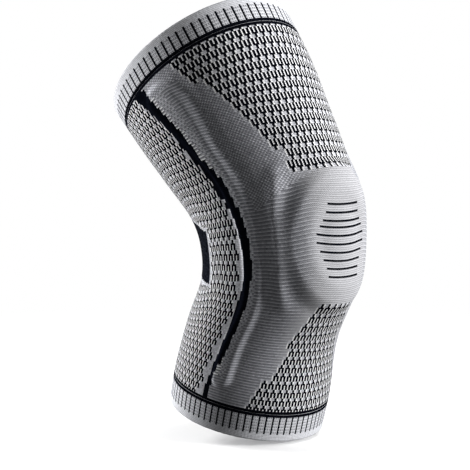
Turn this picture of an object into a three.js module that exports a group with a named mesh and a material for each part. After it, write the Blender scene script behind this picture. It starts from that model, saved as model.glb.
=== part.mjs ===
// Knitted knee sleeve, worn form, with a gel ring round the kneecap and a spring stay down each side.
// Millimetres, +Z up, the front of the knee faces -Y, and the origin is the middle of the leg's axis at the knee.
//
// The knit is one surface with two parameters. "at" runs in mm along the bent axis of the leg, from the calf rim
// up to the thigh rim, and "angle" goes round the leg from the front, 0, to the back, pi. A piece takes its place
// on that surface and a distance from it, so the layers of the sleeve follow each other wherever it bends.
import * as THREE from 'three';
import { ParametricGeometry } from 'three/addons/geometries/ParametricGeometry.js';
import { mergeVertices } from 'three/addons/utils/BufferGeometryUtils.js';

// Lengths along the sleeve and the sizes of the leg that it fits
const sleeveLength = 300;
const girths = {
  calf: { width: 121, depth: 124 },
  knee: { width: 114, depth: 122 },
  thigh: { width: 145, depth: 168 },
};
const kneeForward = 9; // how far the knee's sections stand in front of the axis
const bendLength = 141; // stretch of the axis that curves at the knee
const thighLean = THREE.MathUtils.degToRad(37); // the thigh leans back from upright
const calfLean = THREE.MathUtils.degToRad(14); // the calf falls back from upright

// Layers
const bodyWall = 1.8;
const cuffWall = 2.2;
const pocketWall = 1.0;
const layerGap = 0.6; // between the body and the pocket layers inside it
const clearance = 0.4; // between an insert and the layers that hold it
const crownClearance = 1.2; // between the top of the gel ring and the knit over it
const seamGap = 0.3; // between a cuff and the body

// Cuffs
const calfCuffHeight = 22;
const thighCuffHeight = 24;
const rimRadius = 0.9; // rounding of a cuff's free edge

// Kneecap dome and the gel ring over it
const domeRise = 9.4;
const domeCentre = 135;
const domeHalfHeight = 41;
const ringCentre = 139;
const ringHeight = 104;
const ringWidth = 78;
const holeShare = 0.48; // the ring's hole, as a share of its outline
const ringRise = 5; // how far the ring lifts the knit
const dishShare = 0.4; // what is left of that lift over the hole

// Side stays: a flat end with an oval loop, a flat spring and a rounded tip
const stayThickness = 2.6;
const channelRise = 3.6; // how far a stay lifts the knit
const channelTop = 267;
const channelBottom = 36;
const loopWidth = 22;
const loopHeight = 40;
const loopHoleWidth = 11;
const loopHoleHeight = 27;
const shoulderWidth = 13;
const shoulderLength = 7;
const shoulderTaper = { above: 2, below: 3 }; // from the shoulder's line to its two corners
const stemWidth = 9;
const stemLength = 24;
const springWidth = 8.4;
const tipWidth = 8;
const loopTop = 258; // along the axis
const springTop = 184;
const springBottom = 78;
const tipBottom = 46;

// Folds of the knit
const valleyDepth = 1.2; // groove in front of each channel
const valleyWidth = 3.5;
const valleyOffset = 6; // from the channel's edge to the groove's middle line
const valleyStart = { gap: 57, fade: 30 }; // from the channel's bottom end
const valleyEnd = { gap: 2, fade: 22 }; // from the channel's top end
const foldRise = 2; // soft fold beside the kneecap
const foldAngle = THREE.MathUtils.degToRad(52);
const foldWidth = THREE.MathUtils.degToRad(4.5);
const foldBow = THREE.MathUtils.degToRad(12.5); // how far its ends turn towards the front
const foldHalfLength = 42;
const foldFade = 21;

// How finely the surfaces are cut
const frontColumns = 8;
const backColumns = 6;
const bodyRows = { calf: 9, knee: 19, thigh: 11 };
const outlineStep = 9; // of the stay's flat end

// The leg's sections: at, a share of the sleeve's length; width and depth, shares of the girth they follow;
// forward, a share of kneeForward
const sections = [
  { at: 0.00, girth: 'calf', width: 1.000, depth: 1.000, forward: 0.00 },
  { at: 0.10, girth: 'calf', width: 1.010, depth: 1.000, forward: 0.07 },
  { at: 0.22, girth: 'calf', width: 0.945, depth: 0.970, forward: 0.18 },
  { at: 0.34, girth: 'knee', width: 0.960, depth: 0.965, forward: 0.77 },
  { at: 0.46, girth: 'knee', width: 1.000, depth: 1.000, forward: 0.92 },
  { at: 0.58, girth: 'knee', width: 1.065, depth: 1.100, forward: 1.04 },
  { at: 0.70, girth: 'thigh', width: 0.925, depth: 0.850, forward: 0.88 },
  { at: 0.85, girth: 'thigh', width: 1.010, depth: 0.925, forward: 0.67 },
  { at: 1.00, girth: 'thigh', width: 1.000, depth: 1.000, forward: 0.25 },
];

// The stay's channel: at, a share of its own length from bottom to top; angle round the leg in degrees;
// halfWidth, a share of the loop's width
const channel = [
  { at: 0.00, angle: 69.0, halfWidth: 0.36 },
  { at: 0.10, angle: 67.5, halfWidth: 0.35 },
  { at: 0.30, angle: 64.0, halfWidth: 0.33 },
  { at: 0.45, angle: 66.5, halfWidth: 0.33 },
  { at: 0.58, angle: 72.5, halfWidth: 0.34 },
  { at: 0.70, angle: 77.0, halfWidth: 0.38 },
  { at: 0.80, angle: 79.0, halfWidth: 0.55 },
  { at: 0.88, angle: 81.0, halfWidth: 0.67 },
  { at: 0.94, angle: 83.0, halfWidth: 0.68 },
  { at: 1.00, angle: 84.5, halfWidth: 0.68 },
];

const sectionAt = sections.map((row) => row.at * sleeveLength);
const halfWidths = sections.map((row) => (row.width * girths[row.girth].width) / 2);
const halfDepths = sections.map((row) => (row.depth * girths[row.girth].depth) / 2);
const forwards = sections.map((row) => row.forward * kneeForward);
const channelAt = channel.map((row) => channelBottom + row.at * (channelTop - channelBottom));
const channelAngles = channel.map((row) => THREE.MathUtils.degToRad(row.angle));
const channelHalfWidths = channel.map((row) => row.halfWidth * loopWidth);

// Rises smoothly from 0 at start to 1 at end, also where end is the smaller one
function ease(value, start, end) {
  const t = THREE.MathUtils.clamp((value - start) / (end - start), 0, 1);
  return t * t * (3 - 2 * t);
}

// Smooth curve through a table's rows, level with the mean slope on both sides at each row
function through(places, values, place) {
  const last = places.length - 1;
  const x = THREE.MathUtils.clamp(place, places[0], places[last]);
  let i = 0;
  while (i < last - 1 && x > places[i + 1]) i += 1;
  const slope = (k) => {
    const low = Math.max(k - 1, 0);
    const high = Math.min(k + 1, last);
    return (values[high] - values[low]) / (places[high] - places[low]);
  };
  const step = places[i + 1] - places[i];
  const t = (x - places[i]) / step;
  const start = values[i] * (1 + 2 * t) * (1 - t) ** 2 + step * slope(i) * t * (1 - t) ** 2;
  const end = values[i + 1] * t * t * (3 - 2 * t) - step * slope(i + 1) * t * t * (1 - t);
  return start + end;
}

// Lean of the axis from upright, back being positive
function lean(at) {
  const turn = ease(at, (sleeveLength - bendLength) / 2, (sleeveLength + bendLength) / 2);
  return -calfLean + (thighLean + calfLean) * turn;
}

// Points of the axis each half millimetre, summed from its lean, with the middle at the origin
const axisStep = 0.5;
const axisPoints = [new THREE.Vector2(0, 0)];
for (let at = axisStep; at <= sleeveLength; at += axisStep) {
  const angle = lean(at - axisStep / 2);
  const previous = axisPoints[axisPoints.length - 1];
  axisPoints.push(new THREE.Vector2(
    previous.x + axisStep * Math.sin(angle),
    previous.y + axisStep * Math.cos(angle),
  ));
}
const axisMiddle = axisPoints[Math.round(axisPoints.length / 2) - 1].clone();
for (const point of axisPoints) point.sub(axisMiddle);

function axisPoint(at) {
  const place = THREE.MathUtils.clamp(at / axisStep, 0, axisPoints.length - 1.001);
  const low = Math.floor(place);
  return axisPoints[low].clone().lerp(axisPoints[low + 1], place - low);
}

// The leg's form with the kneecap dome: the point at (angle, at), moved out by lift square to the section
function legPoint(angle, at, lift) {
  const halfWidth = through(sectionAt, halfWidths, at);
  const halfDepth = through(sectionAt, halfDepths, at);
  const front = Math.max(Math.cos(angle), 0);
  const dome = domeRise * Math.exp(-(((at - domeCentre) / domeHalfHeight) ** 4)) * front ** 1.6;
  const outX = -Math.sin(angle) / halfWidth;
  const outForward = Math.cos(angle) / halfDepth;
  const size = Math.hypot(outX, outForward);
  const x = -halfWidth * Math.sin(angle) + (lift * outX) / size;
  const forward = through(sectionAt, forwards, at) + halfDepth * Math.cos(angle) + dome
    + (lift * outForward) / size;
  const centre = axisPoint(at);
  const tilt = lean(at);
  return new THREE.Vector3(x, centre.x - forward * Math.cos(tilt), centre.y + forward * Math.sin(tilt));
}

const ringMiddle = legPoint(0, ringCentre, 0);
const ringUp = new THREE.Vector3(0, Math.sin(lean(ringCentre)), Math.cos(lean(ringCentre)));

// Height over the ring's middle, in the ring's own plane
function ringHeightAt(angle, at) {
  return legPoint(angle, at, 0).sub(ringMiddle).dot(ringUp);
}

// Distance from the ring's middle, 1 being its outline
function ringDistance(angle, at) {
  if (Math.cos(angle) <= 0) return Infinity;
  const across = through(sectionAt, halfWidths, at) * Math.sin(angle);
  return Math.hypot(ringHeightAt(angle, at) / (ringHeight / 2), across / (ringWidth / 2));
}

// Millimetres for each radian round the leg, at the stay's channel
function channelSpeed(at) {
  const angle = through(channelAt, channelAngles, at);
  const halfWidth = through(sectionAt, halfWidths, at);
  const halfDepth = through(sectionAt, halfDepths, at);
  return Math.hypot(halfWidth * Math.cos(angle), halfDepth * Math.sin(angle));
}

// How far the knit stands out from the leg's form: ring, channels, grooves in front of them and side folds
function relief(angle, at) {
  const side = Math.abs(Math.atan2(Math.sin(angle), Math.cos(angle)));
  const distance = ringDistance(angle, at);
  const overHole = dishShare + (1 - dishShare) * ease(distance, holeShare - 0.06, 0.74);
  const ring = ringRise * ease(distance, 1.18, 0.9) * overHole;

  const halfWidth = through(channelAt, channelHalfWidths, at);
  const across = (side - through(channelAt, channelAngles, at)) * channelSpeed(at);
  const past = Math.max(at - (channelTop - halfWidth), channelBottom + halfWidth - at, 0);
  const ridge = channelRise * ease(Math.hypot(across, past) / halfWidth, 1.12, 0.78);

  const fromBottom = at - channelBottom - valleyStart.gap;
  const fromTop = channelTop - valleyEnd.gap - at;
  const valleyWindow = ease(fromBottom, 0, valleyStart.fade) * ease(fromTop, 0, valleyEnd.fade);
  const fromValley = across + halfWidth + valleyOffset;
  const valley = valleyDepth * Math.exp(-((fromValley / valleyWidth) ** 2)) * valleyWindow;

  const fromFoldMiddle = Math.abs(at - ringCentre);
  const bow = foldAngle - foldBow * (fromFoldMiddle / foldHalfLength) ** 2;
  const foldWindow = ease(fromFoldMiddle, foldHalfLength, foldHalfLength - foldFade);
  const fold = foldRise * Math.exp(-(((side - bow) / foldWidth) ** 2)) * foldWindow;
  return ring + ridge - valley + fold;
}

// A point of the knit's outer face, moved in by depth
function knitPoint(angle, at, depth) {
  return legPoint(angle, at, relief(angle, at) - depth);
}

// Place round the leg for a distance in mm from the channel's middle line, on the side +1 or -1
function besideChannel(side, across, at) {
  return side * (through(channelAt, channelAngles, at) + across / channelSpeed(at));
}

// Angles of the knit's columns: even over the front, close together on the channel, even over the back
const channelColumns = [-1.25, -0.95, -0.62, 0, 0.62, 0.95, 1.25]; // shares of the channel's half width
function columnAngles(at) {
  const halfWidth = through(channelAt, channelHalfWidths, at);
  const overChannel = channelColumns.map((share) => besideChannel(1, share * halfWidth, at));
  const first = overChannel[0];
  const last = overChannel[overChannel.length - 1];
  const half = [];
  for (let i = 0; i < frontColumns; i += 1) half.push((first * i) / frontColumns);
  half.push(...overChannel);
  for (let i = 1; i <= backColumns; i += 1) half.push(last + ((Math.PI - last) * i) / backColumns);
  const mirrored = half.slice(1, -1).reverse().map((angle) => -angle);
  return [...half, ...mirrored];
}

// Merges a surface's doubled points, drops the triangles that have no area and turns its faces outwards
function closedSolid(surface) {
  surface.deleteAttribute('normal');
  surface.deleteAttribute('uv');
  const merged = mergeVertices(surface, 1e-4);
  const corners = merged.index.array;
  const points = merged.attributes.position;
  const kept = [];
  let volume = 0;
  const [a, b, c] = [new THREE.Vector3(), new THREE.Vector3(), new THREE.Vector3()];
  for (let i = 0; i < corners.length; i += 3) {
    const [p, q, r] = [corners[i], corners[i + 1], corners[i + 2]];
    if (p === q || q === r || r === p) continue;
    kept.push(p, q, r);
    a.fromBufferAttribute(points, p);
    b.fromBufferAttribute(points, q);
    c.fromBufferAttribute(points, r);
    volume += a.dot(b.cross(c));
  }
  if (volume < 0) kept.reverse();
  merged.setIndex(kept);
  return merged;
}

// Closed surface from rows of points, each a closed loop; wrapped joins the last row to the first
function loftRows(rows, wrapped) {
  const columns = rows[0].length;
  const steps = wrapped ? rows.length : rows.length - 1;
  return closedSolid(new ParametricGeometry((u, v, target) => {
    const row = rows[Math.round(v * steps) % rows.length];
    target.copy(row[Math.round(u * columns) % columns]);
  }, columns, steps));
}

// Evenly spaced places from start to end, both included
function spread(start, end, steps) {
  return Array.from({ length: steps + 1 }, (_, i) => start + ((end - start) * i) / steps);
}

// A ring-shaped wall round the leg, from its profile: places along the axis with a depth from the outer face
function tube(profile) {
  const rows = profile.map(({ at, depth }) => columnAngles(at).map((angle) => knitPoint(angle, at, depth)));
  return loftRows(rows, true);
}

// The body's wall, up outside and down inside
function bodyGeometry() {
  const low = calfCuffHeight + seamGap;
  const high = sleeveLength - thighCuffHeight;
  const kneeLow = sleeveLength * 0.3;
  const kneeHigh = sleeveLength * 0.63;
  const places = [
    ...spread(low, kneeLow, bodyRows.calf),
    ...spread(kneeLow, kneeHigh, bodyRows.knee).slice(1),
    ...spread(kneeHigh, high, bodyRows.thigh).slice(1),
  ];
  const outside = places.map((at) => ({ at, depth: 0 }));
  const inside = places.map((at) => ({ at, depth: bodyWall })).reverse();
  return tube([...outside, ...inside]);
}

// A cuff's wall from its seam to its free edge, which is rounded; outward is +1 at the thigh, -1 at the calf
function cuffGeometry(seam, rim, outward) {
  const edge = rim - outward * rimRadius;
  const middle = (seam + edge) / 2;
  return tube([
    { at: seam, depth: 0 },
    { at: middle, depth: 0 },
    { at: edge, depth: 0 },
    { at: rim, depth: rimRadius },
    { at: rim, depth: cuffWall - rimRadius },
    { at: edge, depth: cuffWall },
    { at: middle, depth: cuffWall },
    { at: seam, depth: cuffWall },
  ]);
}

// Place along the axis where the surface at this angle is so high over the ring's middle
function atRingHeight(angle, height) {
  let low = 0;
  let high = sleeveLength;
  for (let i = 0; i < 40; i += 1) {
    const middle = (low + high) / 2;
    if (ringHeightAt(angle, middle) < height) low = middle;
    else high = middle;
  }
  return (low + high) / 2;
}

// The angle and the place along the axis of a point of the ring's plane, from its share and direction
function ringPlace(share, direction) {
  const across = (ringWidth / 2) * share * Math.sin(direction);
  const height = (ringHeight / 2) * share * Math.cos(direction);
  let at = ringCentre;
  let angle = 0;
  for (let i = 0; i < 6; i += 1) {
    angle = Math.asin(across / through(sectionAt, halfWidths, at));
    at = atRingHeight(angle, height);
  }
  return { angle, at };
}

// Gel ring: flat towards the leg, crowned towards the knit
function ringGeometry() {
  const directions = spread(0, 2 * Math.PI, 36).slice(0, -1);
  const shares = spread(holeShare, 0.98, 5);
  const rows = directions.map((direction) => {
    const places = shares.map((share) => ringPlace(share, direction));
    const under = places.map(({ angle, at }) => legPoint(angle, at, clearance - layerGap - bodyWall));
    const over = places.map(({ angle, at }) => knitPoint(angle, at, bodyWall + crownClearance));
    return [...under, ...over.reverse()];
  });
  return loftRows(rows, true);
}

// A strip of a layer between two angles that change along it. Each row is a closed loop, out over the strip's
// top and back under it, and the ends are closed on the middle of the layer's thickness.
function strip(places, columns, edges, top, bottom) {
  const rowAt = (at, topLift, bottomLift) => {
    const [from, to] = edges(at);
    const angles = spread(from, to, columns);
    const over = angles.map((angle) => legPoint(angle, at, topLift));
    const under = angles.map((angle) => legPoint(angle, at, bottomLift)).reverse();
    return [...over, ...under];
  };
  const middle = (top + bottom) / 2;
  const rows = places.map((at) => rowAt(at, top, bottom));
  rows.unshift(rowAt(places[0], middle, middle));
  rows.push(rowAt(places[places.length - 1], middle, middle));
  return loftRows(rows, false);
}

// Pocket layer behind the gel ring, an oval a little larger than the ring
function ringPocketGeometry() {
  const margin = 1.06;
  const low = ringPlace(margin, Math.PI).at;
  const high = ringPlace(margin, 0).at;
  const edges = (at) => {
    const height = ringHeightAt(0, at) / ((margin * ringHeight) / 2);
    const across = ((margin * ringWidth) / 2) * Math.sqrt(Math.max(1 - Math.abs(height) ** 2.6, 0.06));
    const angle = Math.asin(across / through(sectionAt, halfWidths, at));
    return [-angle, angle];
  };
  const top = -bodyWall - layerGap;
  return strip(spread(low, high, 14), 10, edges, top, top - pocketWall);
}

// Pocket layer behind a stay, as wide as its channel
function stayPocketGeometry(side) {
  const edges = (at) => {
    const halfWidth = through(channelAt, channelHalfWidths, at);
    const past = Math.max(at - (channelTop - halfWidth), channelBottom + halfWidth - at, 0);
    const across = Math.max(Math.sqrt(Math.max(halfWidth ** 2 - past ** 2, 0)), 0.4 * halfWidth);
    return [besideChannel(side, -across, at), besideChannel(side, across, at)];
  };
  const top = -bodyWall - layerGap;
  return strip(spread(channelBottom + 1, channelTop - 1, 26), 4, edges, top, top - pocketWall);
}

const stayUnder = clearance - layerGap - bodyWall; // lift of a stay's face towards the leg
const stayOver = stayUnder + stayThickness;

// The stay's flat end: an eight-sided head with an oval hole, shoulders and a stem, as an outline round the hole
function loopGeometry(side) {
  const holeCentre = loopTop - loopHeight * 0.46;
  const foot = springTop + seamGap;
  const shoulder = foot + stemLength;
  const headCorners = [
    [0.24, loopTop], [0.5, loopTop - 0.2 * loopHeight], [0.5, loopTop - 0.62 * loopHeight],
  ];
  const halfOutline = [
    ...headCorners.map(([share, at]) => new THREE.Vector2(share * loopWidth, at)),
    new THREE.Vector2(shoulderWidth / 2, shoulder + shoulderTaper.above + shoulderLength),
    new THREE.Vector2(shoulderWidth / 2, shoulder + shoulderTaper.above),
    new THREE.Vector2(stemWidth / 2, shoulder - shoulderTaper.below),
    new THREE.Vector2(stemWidth / 2, foot),
  ];
  const outline = [...halfOutline, ...halfOutline.map(({ x, y }) => new THREE.Vector2(-x, y)).reverse()];
  const rows = [];
  outline.forEach((corner, i) => {
    const next = outline[(i + 1) % outline.length];
    const pieces = Math.max(1, Math.round(corner.distanceTo(next) / outlineStep));
    for (let k = 0; k < pieces; k += 1) {
      const outer = corner.clone().lerp(next, k / pieces);
      const direction = Math.atan2(
        (outer.x / loopHoleWidth) * 2,
        ((outer.y - holeCentre) / loopHoleHeight) * 2,
      );
      const inner = new THREE.Vector2(
        (loopHoleWidth / 2) * Math.sin(direction),
        holeCentre + (loopHoleHeight / 2) * Math.cos(direction),
      );
      const places = spread(0, 1, 4).map((t) => inner.clone().lerp(outer, t));
      const face = (lift) => places.map(({ x, y }) => legPoint(besideChannel(side, x, y), y, lift));
      rows.push([...face(stayUnder), ...face(stayOver).reverse()]);
    }
  });
  return loftRows(rows, true);
}

// A straight stretch of a stay between two places, with its half width along it
function stayStretch(side, places, halfWidthAt, top) {
  const edges = (at) => [
    besideChannel(side, -halfWidthAt(at), at),
    besideChannel(side, halfWidthAt(at), at),
  ];
  return strip(places, 2, edges, top, stayUnder);
}

function springGeometry(side) {
  return stayStretch(side, spread(springBottom, springTop, 16), () => springWidth / 2, stayOver - clearance);
}

function tipGeometry(side) {
  const radius = tipWidth / 2;
  const roundEnd = [0.02, 0.2, 0.5, 1].map((share) => tipBottom + share * radius);
  const places = [...roundEnd, ...spread(tipBottom + radius, springBottom - seamGap, 4).slice(1)];
  const halfWidthAt = (at) => Math.sqrt(Math.max(radius ** 2 - Math.max(tipBottom + radius - at, 0) ** 2, 0));
  return stayStretch(side, places, halfWidthAt, stayOver);
}

const cuffKnit = new THREE.MeshStandardMaterial({ color: 0xb9babd, roughness: 0.95, metalness: 0 });
const bodyKnit = new THREE.MeshStandardMaterial({ color: 0x8a8c90, roughness: 0.95, metalness: 0 });
const innerKnit = new THREE.MeshStandardMaterial({ color: 0x55575c, roughness: 0.95, metalness: 0 });
const gel = new THREE.MeshStandardMaterial({
  color: 0xe6e8e8, roughness: 0.3, metalness: 0, transparent: true, opacity: 0.75,
});
const clearNylon = new THREE.MeshStandardMaterial({
  color: 0xebeceb, roughness: 0.4, metalness: 0, transparent: true, opacity: 0.85,
});
const springSteel = new THREE.MeshStandardMaterial({ color: 0xa9aaa8, roughness: 0.35, metalness: 1 });

const sleeve = new THREE.Group();

function addPiece(name, geometry, material) {
  geometry.computeVertexNormals();
  const mesh = new THREE.Mesh(geometry, material);
  mesh.name = name;
  sleeve.add(mesh);
}

addPiece('knit_body', bodyGeometry(), bodyKnit);
addPiece('calf_cuff', cuffGeometry(calfCuffHeight, 0, -1), cuffKnit);
addPiece(
  'thigh_cuff',
  cuffGeometry(sleeveLength - thighCuffHeight + seamGap, sleeveLength, 1),
  cuffKnit,
);
addPiece('patella_ring', ringGeometry(), gel);
addPiece('patella_pocket', ringPocketGeometry(), innerKnit);
for (const [name, side] of [['left', 1], ['right', -1]]) {
  addPiece(`${name}_stay_loop`, loopGeometry(side), clearNylon);
  addPiece(`${name}_stay_spring`, springGeometry(side), springSteel);
  addPiece(`${name}_stay_tip`, tipGeometry(side), clearNylon);
  addPiece(`${name}_stay_pocket`, stayPocketGeometry(side), innerKnit);
}

export default sleeve;
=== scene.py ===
# %% [markdown]
# # A knitted knee sleeve
#
# A compression sleeve is knitted as one tube on a circular machine, so its surface is a grid: wales, the
# columns of loops, run along the leg, and courses, the rows of loops, run round it. This lesson builds the
# sleeve the same way. One function of two parameters gives the form of the bent leg, and a chart says which
# yarn shows at each stitch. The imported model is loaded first, and every piece is laid over its solid.

import math

import bpy
import numpy as np
from mathutils import Matrix, Vector


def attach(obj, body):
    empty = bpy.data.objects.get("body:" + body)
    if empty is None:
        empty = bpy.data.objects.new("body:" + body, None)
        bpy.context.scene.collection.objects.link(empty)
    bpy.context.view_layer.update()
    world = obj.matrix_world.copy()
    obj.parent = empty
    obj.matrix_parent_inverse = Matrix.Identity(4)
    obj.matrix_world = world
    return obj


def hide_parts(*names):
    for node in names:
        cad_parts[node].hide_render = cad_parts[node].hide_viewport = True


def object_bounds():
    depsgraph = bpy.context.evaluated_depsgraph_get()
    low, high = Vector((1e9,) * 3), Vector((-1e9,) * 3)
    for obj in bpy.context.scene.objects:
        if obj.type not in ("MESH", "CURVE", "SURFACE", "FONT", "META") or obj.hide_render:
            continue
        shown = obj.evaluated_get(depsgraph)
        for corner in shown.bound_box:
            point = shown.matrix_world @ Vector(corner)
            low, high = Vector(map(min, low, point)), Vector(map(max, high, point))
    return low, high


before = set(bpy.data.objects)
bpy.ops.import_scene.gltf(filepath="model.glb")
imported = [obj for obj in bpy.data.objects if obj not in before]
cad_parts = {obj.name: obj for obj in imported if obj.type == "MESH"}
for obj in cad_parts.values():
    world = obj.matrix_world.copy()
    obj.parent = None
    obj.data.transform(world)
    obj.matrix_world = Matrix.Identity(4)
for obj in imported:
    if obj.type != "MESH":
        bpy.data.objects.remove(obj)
cad_box = [list(corner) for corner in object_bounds()]
MM = 0.001  # the shapes below are worked out in millimetres
print("solids' box in mm:", [[round(x / MM, 1) for x in corner] for corner in cad_box])

# %% [markdown]
# ## The form of the leg
# The sleeve shows the form of the leg that it is made for. Its axis bends at the knee, and its section is an
# ellipse that changes along the axis. "at" is the place along the axis in millimetres, from the calf rim, 0,
# up to the thigh rim, and "angle" goes round the leg from the front. A table with few rows and a smooth curve
# through it is enough, because a leg has no corners.

# %% Sizes of the leg form
SLEEVE_LENGTH = 300.0
GIRTHS = {"calf": (121.0, 124.0), "knee": (114.0, 122.0), "thigh": (145.0, 168.0)}  # width, depth
KNEE_FORWARD = 9.0
BEND_LENGTH = 141.0
THIGH_LEAN = math.radians(37)
CALF_LEAN = math.radians(14)
DOME = {"rise": 9.4, "centre": 135.0, "half_height": 41.0, "roundness": 1.6}

# at, a share of the length; girth; width and depth, shares of that girth; forward, a share of KNEE_FORWARD
SECTIONS = [
    (0.00, "calf", 1.000, 1.000, 0.00),
    (0.10, "calf", 1.010, 1.000, 0.07),
    (0.22, "calf", 0.945, 0.970, 0.18),
    (0.34, "knee", 0.960, 0.965, 0.77),
    (0.46, "knee", 1.000, 1.000, 0.92),
    (0.58, "knee", 1.065, 1.100, 1.04),
    (0.70, "thigh", 0.925, 0.850, 0.88),
    (0.85, "thigh", 1.010, 0.925, 0.67),
    (1.00, "thigh", 1.000, 1.000, 0.25),
]
section_at = np.array([row[0] * SLEEVE_LENGTH for row in SECTIONS])
half_widths = np.array([GIRTHS[row[1]][0] * row[2] / 2 for row in SECTIONS])
half_depths = np.array([GIRTHS[row[1]][1] * row[3] / 2 for row in SECTIONS])
forwards = np.array([KNEE_FORWARD * row[4] for row in SECTIONS])


def ease(value, start, end):
    """3t² - 2t³, with t the share of the way from start to end, held between 0 and 1."""
    t = np.clip((value - start) / (end - start), 0, 1)
    return t * t * (3 - 2 * t)


def through(places, values, at):
    """Cubic Hermite curve through a table's rows. The slope at a row is that of the line between the rows on
    both sides of it."""
    before = np.concatenate([[0], np.arange(len(places) - 1)])
    after = np.concatenate([np.arange(1, len(places)), [len(places) - 1]])
    slopes = (values[after] - values[before]) / (places[after] - places[before])
    x = np.clip(at, places[0], places[-1])
    i = np.clip(np.searchsorted(places, x, side="right") - 1, 0, len(places) - 2)
    step = places[i + 1] - places[i]
    t = (x - places[i]) / step
    start = values[i] * (1 + 2 * t) * (1 - t) ** 2 + step * slopes[i] * t * (1 - t) ** 2
    end = values[i + 1] * t * t * (3 - 2 * t) - step * slopes[i + 1] * t * t * (1 - t)
    return start + end


def lean(at):
    """Lean of the axis from upright: an eased turn from the calf's to the thigh's over BEND_LENGTH."""
    turn = ease(at, (SLEEVE_LENGTH - BEND_LENGTH) / 2, (SLEEVE_LENGTH + BEND_LENGTH) / 2)
    return -CALF_LEAN + (THIGH_LEAN + CALF_LEAN) * turn


AXIS_STEP = 0.5
axis_at = np.arange(0, SLEEVE_LENGTH + AXIS_STEP / 2, AXIS_STEP)
axis_lean = lean(axis_at[:-1] + AXIS_STEP / 2)
axis_y = np.concatenate([[0], np.cumsum(np.sin(axis_lean))]) * AXIS_STEP
axis_z = np.concatenate([[0], np.cumsum(np.cos(axis_lean))]) * AXIS_STEP
axis_y -= np.interp(SLEEVE_LENGTH / 2, axis_at, axis_y)
axis_z -= np.interp(SLEEVE_LENGTH / 2, axis_at, axis_z)


def leg_point(angle, at, lift=0.0):
    """Ellipse (half width · sin, half depth · cos) square to the axis at `at`, moved out by lift along its
    normal. In front it carries the kneecap's dome, rise · exp(-(distance / half height)⁴) · cos^roundness."""
    half_width = through(section_at, half_widths, at)
    half_depth = through(section_at, half_depths, at)
    along = (at - DOME["centre"]) / DOME["half_height"]
    dome = DOME["rise"] * np.exp(-(along**4)) * np.clip(np.cos(angle), 0, 1) ** DOME["roundness"]
    out_x = -np.sin(angle) / half_width
    out_forward = np.cos(angle) / half_depth
    size = np.hypot(out_x, out_forward)
    x = -half_width * np.sin(angle) + lift * out_x / size
    ahead = through(section_at, forwards, at) + half_depth * np.cos(angle) + dome
    forward = ahead + lift * out_forward / size
    y = np.interp(at, axis_at, axis_y) - forward * np.cos(lean(at))
    z = np.interp(at, axis_at, axis_z) + forward * np.sin(lean(at))
    return np.stack(np.broadcast_arrays(x, y, z), -1)


print("axis runs from", axis_z[0].round(1), "to", axis_z[-1].round(1), "mm in height")

# %% [markdown]
# ## What stands out from the leg
# A gel ring round the kneecap and a spring stay down each side lie inside the knit and lift it. The knit also
# folds softly beside the kneecap. All of it is one height over the leg form, worked out from distances on the
# surface, so the layers above and below an insert follow it by themselves.

# %% Relief of the knit
RING = {"centre": 139.0, "height": 104.0, "width": 78.0, "hole": 0.48, "rise": 5.0, "dish": 0.4}
# Where the slopes begin and end, as shares of the ring's oval outline and of the channel's half width
RING_SLOPES = {"foot": 1.18, "shoulder": 0.9, "crown": 0.74, "inside_hole": 0.06}
CHANNEL = {"rise": 3.6, "top": 267.0, "bottom": 36.0, "foot": 1.26, "shoulder": 0.64}
FAR = 9.0  # the ring's distance for places behind the leg's sides
LOOP_WIDTH = 22.0
VALLEY = {"depth": 1.2, "width": 3.5, "offset": 6.0}
VALLEY_ENDS = {"low_gap": 57.0, "low_fade": 30.0, "top_gap": 2.0, "top_fade": 22.0}
FOLD = {"rise": 4.2, "angle": math.radians(50.5), "width": math.radians(6), "bow": math.radians(12.5)}
FOLD_HALF_LENGTH = 42.0
FOLD_FADE = 21.0

# at, a share of the channel's length; angle round the leg in degrees; half width, a share of LOOP_WIDTH
CHANNEL_ROWS = [
    (0.00, 69.0, 0.36),
    (0.10, 67.5, 0.35),
    (0.30, 64.0, 0.33),
    (0.45, 66.5, 0.33),
    (0.58, 72.5, 0.34),
    (0.70, 77.0, 0.38),
    (0.80, 79.0, 0.55),
    (0.88, 81.0, 0.67),
    (0.94, 83.0, 0.68),
    (1.00, 84.5, 0.68),
]
channel_length = CHANNEL["top"] - CHANNEL["bottom"]
channel_at = np.array([CHANNEL["bottom"] + row[0] * channel_length for row in CHANNEL_ROWS])
channel_angles = np.radians([row[1] for row in CHANNEL_ROWS])
channel_half_widths = np.array([row[2] * LOOP_WIDTH for row in CHANNEL_ROWS])
ring_middle = leg_point(np.float64(0), np.float64(RING["centre"]))
ring_up = np.array([0, math.sin(lean(RING["centre"])), math.cos(lean(RING["centre"]))])


def side_of(angle):
    """Angle from the front, 0 to pi, on either side."""
    return np.abs(np.arctan2(np.sin(angle), np.cos(angle)))


def ring_height_at(angle, at):
    """Height over the gel ring's middle, in the ring's own plane."""
    return (leg_point(angle, at) - ring_middle) @ ring_up


def ring_distance(angle, at):
    """Distance from the ring's middle, 1 on its oval outline, and FAR behind the leg's sides."""
    across = through(section_at, half_widths, at) * np.sin(angle)
    distance = np.hypot(ring_height_at(angle, at) / (RING["height"] / 2), across / (RING["width"] / 2))
    return np.where(np.cos(angle) > 0, distance, FAR)


def channel_speed(at):
    """Millimetres for each radian round the leg, at the stay's channel."""
    angle = through(channel_at, channel_angles, at)
    half_width = through(section_at, half_widths, at)
    half_depth = through(section_at, half_depths, at)
    return np.hypot(half_width * np.cos(angle), half_depth * np.sin(angle))


def from_channel(angle, at):
    """Distance round the leg from the channel's middle line, in mm, positive towards the back."""
    return (side_of(angle) - through(channel_at, channel_angles, at)) * channel_speed(at)


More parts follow.
